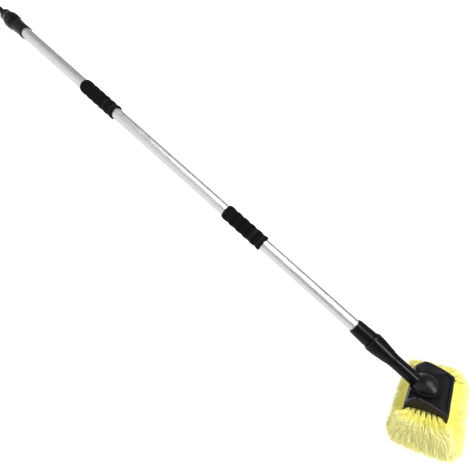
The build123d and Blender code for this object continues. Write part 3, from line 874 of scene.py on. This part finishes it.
# A line whose crossing with the vertical is shorter than this counts as vertical.
VERTICAL = 1e-3


def deselect_all():
    """Leave nothing selected and no piece in edit mode."""
    if bpy.context.object and bpy.context.object.mode != "OBJECT":
        bpy.ops.object.mode_set(mode="OBJECT")
    bpy.ops.object.select_all(action="DESELECT")


def dress(material, *names):
    """Give CAD nodes their material."""
    for name in names:
        node = nodes[name]
        node.data.materials.clear()
        node.data.materials.append(material)


def pole_span(name):
    """A node's reach along the pole and its largest and smallest radius about the pole's axis."""
    to_pole = pole_frame().inverted()
    points = np.array([to_pole @ vertex.co for vertex in nodes[name].data.vertices])
    along = points[:, 0]
    radius = np.hypot(points[:, 1], points[:, 2])
    return float(along.min()), float(along.max()), float(radius.max()), float(radius.min())


def ringed_tube(name, sides, radius, length, steps):
    """An open tube from the origin up the Z axis, cut into equal steps and left in edit mode."""
    deselect_all()
    bpy.ops.mesh.primitive_cylinder_add(
        vertices=sides,
        radius=radius,
        depth=length,
        end_fill_type="NOTHING",
        location=(0, 0, length / 2),
    )
    piece = bpy.context.object
    piece.name = name
    bpy.ops.object.transform_apply(location=True, rotation=True, scale=True)
    bpy.ops.object.mode_set(mode="EDIT")
    bpy.ops.mesh.select_mode(type="VERT")
    for index in range(1, steps):
        bpy.ops.mesh.select_all(action="SELECT")
        bpy.ops.mesh.bisect(plane_co=(0, 0, length * index / steps), plane_no=(0, 0, 1))
    return piece


def select_vertices(piece, low, high, within=math.inf):
    """In edit mode, select the vertices between two heights and within a radius of the Z axis."""
    mesh = bmesh.from_edit_mesh(piece.data)
    for vertex in mesh.verts:
        x, y, z = vertex.co
        vertex.select = bool(low < z < high and math.hypot(x, y) < within)
    mesh.select_flush(True)
    bmesh.update_edit_mesh(piece.data)


def scale_ring(share, height):
    """Scale what is selected about the Z axis at a height."""
    bpy.ops.transform.resize(value=(share, share, 1), center_override=(0, 0, height))


def foam_grip(name, node, settings):
    """One foam grip with rounded finger humps, about the pole where its node lies."""
    start, end, outer, bore = pole_span(node)
    length = end - start
    piece = ringed_tube(name, GRIP_SIDES, outer, length, GRIP_STEPS)
    half_step = length / GRIP_STEPS / 2
    for index in range(GRIP_STEPS + 1):
        height = length * index / GRIP_STEPS
        wave = abs(math.sin(math.pi * height / settings.grip_pitch)) ** HUMP_POWER
        select_vertices(piece, height - half_step, height + half_step)
        scale_ring((outer - settings.grip_hump * (1 - wave)) / outer, height)
    # The end walls, down to the bore, and the bore between them.
    for height in (0, length):
        select_vertices(piece, height - half_step, height + half_step)
        bpy.ops.mesh.extrude_edges_move()
        mesh = bmesh.from_edit_mesh(piece.data)
        rim = max(math.hypot(v.co.x, v.co.y) for v in mesh.verts if v.select)
        scale_ring(bore / rim, height)
    select_vertices(piece, -half_step, length + half_step, bore * BORE_MARGIN)
    bpy.ops.mesh.bridge_edge_loops()
    bpy.ops.mesh.select_all(action="SELECT")
    bpy.ops.mesh.normals_make_consistent(inside=False)
    bpy.ops.object.mode_set(mode="OBJECT")
    rounding = piece.modifiers.new("End rounding", "BEVEL")
    rounding.width = GRIP_EDGE
    rounding.segments = GRIP_EDGE_STEPS
    rounding.limit_method = "ANGLE"
    rounding.angle_limit = SHARP_EDGE
    bpy.ops.object.modifier_apply(modifier=rounding.name)
    bpy.ops.object.shade_smooth_by_angle(angle=SMOOTH_EDGE)
    along_pole = Matrix.Translation((start, 0, 0)) @ Matrix.Rotation(math.radians(90), 4, "Y")
    piece.data.transform(pole_frame() @ along_pole)
    return piece


def filament_template():
    """Points and faces of one straight filament of unit length and radius, closed at its tip."""
    piece = ringed_tube("filament", FILAMENT_SIDES, 1, 1, FILAMENT_STEPS)
    select_vertices(piece, 1 - 0.5 / FILAMENT_STEPS, math.inf)
    scale_ring(TIP_TAPER, 1)
    bpy.ops.mesh.edge_face_add()
    bpy.ops.object.mode_set(mode="OBJECT")
    points = np.array([vertex.co for vertex in piece.data.vertices])
    faces = [list(polygon.vertices) for polygon in piece.data.polygons]
    bpy.data.objects.remove(piece)
    return points, faces


def plate_point(across, along):
    """Point of the tuft plate's lower side: flat, then bevelled up towards the ends."""
    past_flat = np.maximum(0, np.abs(along) - PLATE_FLAT_HALF)
    return np.stack([across, along, past_flat * math.tan(PLATE_BEVEL) - PLATE_DROP], axis=-1)


def tuft_root(brush, column, row):
    """Middle of a tuft where it leaves the plate."""
    share = column / brush.half_columns
    across = row * brush.row_pitch * (1 - ROW_GATHER * share**GATHER_POWER)
    along = column * brush.column_pitch
    if abs(column) == brush.half_columns:
        along += brush.end_shift * np.sign(column)
    return plate_point(across, along) + np.array([0, 0, ROOT_DEPTH])


def trimmed_tips(brush, columns, rows):
    """Places on the brush's rounded outer shape, for fractional columns and rows."""
    brow = brush.half_columns - BROW_INSET
    along = np.clip(columns, -brow, brow) / brow
    across = rows / (brush.half_rows + TIP_REACH)
    side_corner = brush.corner * along**SQUARENESS * across**CORNER_POWER
    end_corner = brush.corner * across**SQUARENESS * along**CORNER_POWER
    x = brush.half_width * across * (1 - side_corner)
    y = brush.half_length * along * (1 - end_corner)
    z = brush.end_lift * along**SQUARENESS + brush.side_lift * across**SQUARENESS - brush.depth
    # The last tips of each end climb a slanted face towards the block.
    climb = np.clip((np.abs(columns) - brow) / (BROW_INSET + TIP_REACH), 0, 1)
    x = x * (1 - FACE_NARROWING * climb)
    y = y - np.sign(columns) * brush.face_slant * climb
    z = z + brush.face_rise * climb
    return np.stack([x, y, z], axis=-1)


def folded_back(value, limit):
    """Values beyond a limit, mirrored back inside it."""
    return np.where(np.abs(value) > limit, np.sign(value) * (2 * limit - np.abs(value)), value)


def tuft_line(brush, column, row, t):
    """A tuft's middle line: it starts more squarely from the plate and bends to its tips."""
    root = tuft_root(brush, column, row)
    brow = brush.half_columns - BROW_INSET
    tip = trimmed_tips(brush, min(abs(column), brow) * np.sign(column), row)
    lean = END_TUFT_LEAN * np.sign(column) if abs(column) == brush.half_columns else 0
    square = np.array([0, math.sin(lean), -math.cos(lean)])
    length = np.linalg.norm(tip - root)
    heading = (tip - root) / length * (1 - brush.upright) + square * brush.upright
    handle = root + heading * length * brush.straight_share
    return root * (1 - t) ** 2 + handle * 2 * t * (1 - t) + tip * t**2


def tuft_paths(brush, column, row, random):
    """Curved lines of a tuft's filaments, root to tip, and each one's tone and length."""
    count = brush.filaments
    wisps = max(1, count // brush.wisp_filaments)
    wisp = np.arange(count) % wisps
    at_end = abs(column) == brush.half_columns
    t = np.linspace(0, 1, FILAMENT_STEPS + 1)[None, :, None]
    middle = tuft_line(brush, column, row, t)

    # Each filament's root, about the tuft's middle.
    angle = random.uniform(0, 2 * math.pi, wisps)
    reach = np.sqrt(random.uniform(0, 1, wisps))
    wisp_side = np.stack([np.cos(angle) * reach, np.sin(angle) * reach], axis=-1)
    side = wisp_side[wisp] + random.normal(0, ROOT_SCATTER, (count, 2))
    side /= np.maximum(1, np.linalg.norm(side, axis=1, keepdims=True))
    radius = brush.root_radius * (END_TUFT_SHARE if at_end else 1)
    root = np.c_[side * radius, np.zeros(count)]

    # Its tip on the trimmed shape, about the tuft's own.
    spread = wisp_side * brush.spread + random.normal(0, brush.stray, (wisps, 2))
    columns = column + spread[wisp, 1] + random.normal(0, brush.wisp_spread, count)
    rows = row + spread[wisp, 0] + random.normal(0, brush.wisp_spread, count)
    columns = folded_back(columns, brush.half_columns + TIP_REACH)
    rows = folded_back(rows, brush.half_rows + TIP_REACH)
    tip = trimmed_tips(brush, columns, rows) - middle[0, -1]

    # The end tufts stay narrow up to the cover's opening, and fan out from there.
    held = brush.held_share if at_end else 0
    fan_power = brush.end_fan_power if at_end else brush.fan_power
    fan = np.clip((t - held) / (1 - held), 0, 1) ** fan_power
    path = middle + root[:, None] * (1 - fan) + tip[:, None] * fan

    # Ends that differ in length, and lines that wander more towards their tips.
    outward = path[:, -1:] - path[:, -2:-1]
    outward /= np.linalg.norm(outward, axis=2, keepdims=True)
    short = random.uniform(0, brush.wisp_step, wisps)[wisp]
    short = short + random.uniform(0, LENGTH_SCATTER, count)
    path = path - outward * short[:, None, None] * t
    lean = random.normal(0, brush.tip_curl, (wisps, 1, 3))[wisp] * t**4
    curl = random.normal(0, 1, (count, FILAMENT_STEPS + 1, 3))
    curl = curl * (SHAFT_WANDER + brush.tip_curl * OWN_CURL * t**3)
    curl[:, 0] = 0

    tone = random.uniform(0, 1, wisps)[wisp] * WISP_TONE
    tone = tone + random.uniform(0, 1, count) * (1 - WISP_TONE)
    length = np.linalg.norm(path[:, -1] - path[:, 0], axis=1)
    return path + lean + curl, tone, length


def swept_points(paths, tones, points, radius):
    """The template's points along every path, each filament turned about it by its tone."""
    heading = np.gradient(paths, axis=1)
    heading /= np.linalg.norm(heading, axis=2, keepdims=True)
    first = np.cross(heading, np.array([0.0, 0.0, 1.0]))
    crossing = np.linalg.norm(first, axis=2, keepdims=True)
    first = np.where(crossing < VERTICAL, [1.0, 0, 0], first)
    first /= np.linalg.norm(first, axis=2, keepdims=True)
    second = np.cross(heading, first)
    turn = (tones * 2 * math.pi)[:, None, None]
    right = first * np.cos(turn) + second * np.sin(turn)
    over = second * np.cos(turn) - first * np.sin(turn)
    ring = np.round(points[:, 2] * FILAMENT_STEPS).astype(int)
    flat = points[None, :, :2] * radius
    swept = paths[:, ring] + right[:, ring] * flat[..., :1] + over[:, ring] * flat[..., 1:]
    matrix = np.array(head_frame())
    swept = swept.reshape(-1, 3) @ matrix[:3, :3].T + matrix[:3, 3]
    # Nothing reaches through what the broom lies on.
    swept[:, 2] = np.maximum(swept[:, 2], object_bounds()[0].z)
    return swept


def copied_mesh(name, points, faces, copies):
    """One mesh from the points of many copies of a template and the template's faces."""
    copy = np.arange(copies)[:, None]
    corners = np.concatenate([np.array(face) for face in faces])
    sizes = np.array([len(face) for face in faces])
    starts = np.concatenate([[0], np.cumsum(sizes)[:-1]])
    all_corners = (corners + copy * (len(points) // copies)).ravel()
    all_starts = (starts + copy * len(corners)).ravel()
    mesh = bpy.data.meshes.new(name)
    mesh.vertices.add(len(points))
    mesh.vertices.foreach_set("co", points.astype(np.float32).ravel())
    mesh.loops.add(len(all_corners))
    mesh.loops.foreach_set("vertex_index", all_corners.astype(np.int32))
    mesh.polygons.add(len(all_starts))
    mesh.polygons.foreach_set("loop_start", all_starts.astype(np.int32))
    mesh.update(calc_edges=True)
    return mesh


def add_uv_map(mesh, name, first, second):
    """A UV map from its two values at every corner of every face."""
    layer = mesh.uv_layers.new(name=name)
    pairs = np.stack([first.ravel(), second.ravel()], axis=-1)
    layer.data.foreach_set("uv", pairs.astype(np.float32).ravel())


def plant(name, brush, tufts, template, body, node, material):
    """Copy the filament along every path of these tufts, in one piece."""
    random = np.random.default_rng(brush.seed + len(name) * SEED_STEP + len(tufts))
    drawn = [tuft_paths(brush, column, row, random) for column, row in tufts]
    paths, tones, lengths = (np.concatenate(values) for values in zip(*drawn))
    points, faces = template
    swept = swept_points(paths, tones, points, brush.thickness / 2)
    mesh = copied_mesh(name, swept, faces, len(paths))

    # Filament: its tone, and one at its tip. Root: zero there, and no shadow on the outer tufts.
    share = points[[corner for face in faces for corner in face], 2]
    to_tip = (1 - share) * lengths[:, None]
    from_root = share * lengths[:, None] / FLAG_SPAN
    if node != "bristles_middle":
        from_root = from_root + 1
    add_uv_map(mesh, "Filament", np.repeat(tones, len(share)), 1 - to_tip / FLAG_SPAN)
    add_uv_map(mesh, "Root", from_root, np.zeros(from_root.size))

    mesh.materials.append(material)
    mesh.validate()
    mesh.shade_smooth()
    piece = bpy.data.objects.new(name, mesh)
    bpy.context.scene.collection.objects.link(piece)
    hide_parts(node)
    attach(piece, body)
    return piece


# Stage

FLOOR_SIZE = 60
WHITE = (1, 1, 1, 1)
PHOTO_WIDTH = 470
SENSOR_WIDTH = 36
# The axes of the pole's frame as the camera sees them, each as its share right, down and ahead.
POLE_SEEN = Matrix(
    (
        (0.73235427, 0.66069551, -0.16473819),
        (0.56289334, -0.45128807, 0.69245228),
        (0.38315573, -0.59985041, -0.70240385),
    )
)
# A point of the pole's axis by the head, and how far right, down and ahead the camera sees it.
AXIS_POINT = Vector((160 * MM, 0, 0))
AXIS_POINT_SEEN = Vector((340.35, 274.51, 610.47)) * MM
# The lamps face this point of the pole's frame.
LIT_POINT = Vector((0.1, 0, 0))


def add_floor(settings):
    """The pale, softly glowing table top."""
    deselect_all()
    bpy.ops.mesh.primitive_plane_add(size=FLOOR_SIZE, location=(0, 0, 0))
    floor = bpy.context.object
    floor.name = "studio_floor"
    material, _, shader = new_material("Studio floor")
    set_inputs(
        shader,
        {
            "Base Color": shaded(settings.floor_colour),
            "Roughness": 0.9,
            "Emission Color": WHITE,
            "Emission Strength": settings.floor_glow,
        },
    )
    floor.data.materials.append(material)
    floor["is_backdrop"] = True


def add_room(scene, settings):
    """The white room round the table."""
    scene.world = bpy.data.worlds.new("Studio")
    scene.world.use_nodes = True
    background = scene.world.node_tree.nodes["Background"]
    set_inputs(background, {"Color": WHITE, "Strength": settings.sky})
    scene.view_settings.view_transform = "Standard"


def add_camera(scene, settings):
    """The camera, at the photograph's place and angle."""
    data = bpy.data.cameras.new("Camera")
    data.sensor_width = SENSOR_WIDTH
    data.lens = SENSOR_WIDTH * settings.focal_pixels / PHOTO_WIDTH
    camera = bpy.data.objects.new("Camera", data)
    scene.collection.objects.link(camera)
    spot = AXIS_POINT - POLE_SEEN @ AXIS_POINT_SEEN
    # A Blender camera's axes point right, up and back.
    turn = (POLE_SEEN @ Matrix.Diagonal((1, -1, -1))).to_4x4()
    camera.matrix_world = pole_frame() @ Matrix.Translation(spot) @ turn
    scene.camera = camera
    return camera


def add_lamp(scene, name, power, size, spot):
    """A soft lamp that faces the pole, with its length along it."""
    data = bpy.data.lights.new(name, "AREA")
    data.shape = "RECTANGLE"
    data.energy = power
    data.size, data.size_y = size
    lamp = bpy.data.objects.new(name, data)
    scene.collection.objects.link(lamp)
    back = (spot - pole_frame() @ LIT_POINT).normalized()
    side = (POLE_AXIS - POLE_AXIS.dot(back) * back).normalized()
    turn = Matrix((side, back.cross(side), back)).transposed().to_4x4()
    lamp.matrix_world = Matrix.Translation(spot) @ turn


# Operators


class BROOM_OT_tubes(bpy.types.Operator):
    """Finish the two tubes in satin aluminium"""

    bl_idname = "broom.tubes"
    bl_label = "Tubes"

    def execute(self, context):
        dress(aluminium_material(context.scene.broom_tubes), "outer_tube", "inner_tube")
        return {"FINISHED"}


class BROOM_OT_grips(bpy.types.Operator):
    """Model the foam grips with their finger humps"""

    bl_idname = "broom.grips"
    bl_label = "Foam grips"

    def execute(self, context):
        settings = context.scene.broom_plastics
        material = foam_material(settings)
        for name, node in (("upper_foam_grip", "upper_grip"), ("lower_foam_grip", "lower_grip")):
            piece = foam_grip(name, node, settings)
            piece.data.materials.append(material)
            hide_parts(node)
            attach(piece, "outer_pole")
        return {"FINISHED"}


class BROOM_OT_mouldings(bpy.types.Operator):
    """Finish the glossy collars, nut, neck and hose adapter"""

    bl_idname = "broom.mouldings"
    bl_label = "Glossy mouldings"

    def execute(self, context):
        gloss = gloss_material(context.scene.broom_plastics)
        dress(gloss, "end_collar", "hose_adapter", "lock_collar", "cone_nut", "neck")
        return {"FINISHED"}


class BROOM_OT_hidden_pieces(bpy.types.Operator):
    """Finish the seals, the guide, the screws and the other hidden pieces"""

    bl_idname = "broom.hidden_pieces"
    bl_label = "Seals, guide and screws"

    def execute(self, context):
        settings = context.scene.broom_plastics
        rubber = rubber_material(settings)
        dress(rubber, "tube_washer", "adapter_washer", "nipple_ring", "nut_wiper")
        dress(rubber, "guide_seals", "neck_washer", "neck_ring", "head_gasket")
        plain = dull_material(settings)
        dress(plain, "lock_collet", "guide_bush", "guide_plug", "tuft_plate")
        dress(steel_material(), "guide_clip", "plate_screws")
        return {"FINISHED"}


class BROOM_OT_head(bpy.types.Operator):
    """Finish the brush head's moulded cover"""

    bl_idname = "broom.head"
    bl_label = "Head cover"

    def execute(self, context):
        dress(satin_material(context.scene.broom_plastics), "head_cover")
        return {"FINISHED"}


class BROOM_OT_filaments(bpy.types.Operator):
    """Plant the filaments of every tuft"""

    bl_idname = "broom.filaments"
    bl_label = "Filaments"

    def execute(self, context):
        brush = context.scene.broom_brush
        material = filament_material(brush)
        template = filament_template()
        columns = brush.half_columns
        rows = brush.half_rows
        inner_columns = range(1 - columns, columns)
        all_rows = range(-rows, rows + 1)
        fields = [
            ("filaments_heel", "bristles_heel", [(c, -rows) for c in inner_columns]),
            ("filaments_toe", "bristles_toe", [(c, rows) for c in inner_columns]),
            ("filaments_near_end", "bristles_near_end", [(-columns, r) for r in all_rows]),
            ("filaments_far_end", "bristles_far_end", [(columns, r) for r in all_rows]),
        ]
        for row in range(1 - rows, rows):
            name = f"filaments_middle_row_{row + rows}"
            fields.append((name, "bristles_middle", [(c, row) for c in inner_columns]))
        for name, node, tufts in fields:
            plant(name, brush, tufts, template, "inner_pole", node, material)
        return {"FINISHED"}


class BROOM_OT_stage(bpy.types.Operator):
    """Set up the pale floor, the soft lights and the camera"""

    bl_idname = "broom.stage"
    bl_label = "Stage"

    def execute(self, context):
        scene = context.scene
        settings = scene.broom_stage
        add_floor(settings)
        add_room(scene, settings)
        camera = add_camera(scene, settings)
        # Each lamp's power, its length and width, and its place as the camera sees it.
        lamps = (
            ("Key light", settings.key_power, (2.2, 2.2), (1.1, 1.9, 1.5)),
            ("Fill light", settings.fill_power, (4.5, 4.5), (-2.9, 0.6, 1.5)),
            ("Strip light", settings.strip_power, (1.5, 0.7), (1.83, -0.115, 1.365)),
        )
        for name, power, size, seen in lamps:
            add_lamp(scene, name, power, size, camera.matrix_world @ Vector(seen))
        return {"FINISHED"}


class BROOM_PT_panel(bpy.types.Panel):
    """The broom's pieces and their sizes"""

    bl_idname = "BROOM_PT_panel"
    bl_label = "Telescopic wash broom"
    bl_space_type = "VIEW_3D"
    bl_region_type = "UI"
    bl_category = "Broom"

    def draw(self, context):
        layout = self.layout
        for operator in OPERATORS:
            layout.operator(operator.bl_idname)
        for name in SETTINGS:
            group = getattr(context.scene, name)
            column = layout.column(align=True)
            for key in group.__annotations__:
                column.prop(group, key)


OPERATORS = (
    BROOM_OT_tubes,
    BROOM_OT_grips,
    BROOM_OT_mouldings,
    BROOM_OT_hidden_pieces,
    BROOM_OT_head,
    BROOM_OT_filaments,
    BROOM_OT_stage,
)

SETTINGS = {
    "broom_tubes": BroomTubeSettings,
    "broom_plastics": BroomPlasticSettings,
    "broom_brush": BroomBrushSettings,
    "broom_stage": BroomStageSettings,
}


def register():
    for name, group in SETTINGS.items():
        bpy.utils.register_class(group)
        setattr(bpy.types.Scene, name, PointerProperty(type=group))
    for operator in OPERATORS:
        bpy.utils.register_class(operator)
    bpy.utils.register_class(BROOM_PT_panel)


def unregister():
    bpy.utils.unregister_class(BROOM_PT_panel)
    for operator in reversed(OPERATORS):
        bpy.utils.unregister_class(operator)
    for name, group in SETTINGS.items():
        delattr(bpy.types.Scene, name)
        bpy.utils.unregister_class(group)


def main():
    register()
    bpy.ops.broom.tubes()
    bpy.ops.broom.grips()
    bpy.ops.broom.mouldings()
    bpy.ops.broom.hidden_pieces()
    bpy.ops.broom.head()
    bpy.ops.broom.filaments()
    bpy.ops.broom.stage()


if __name__ == "__main__":
    main()
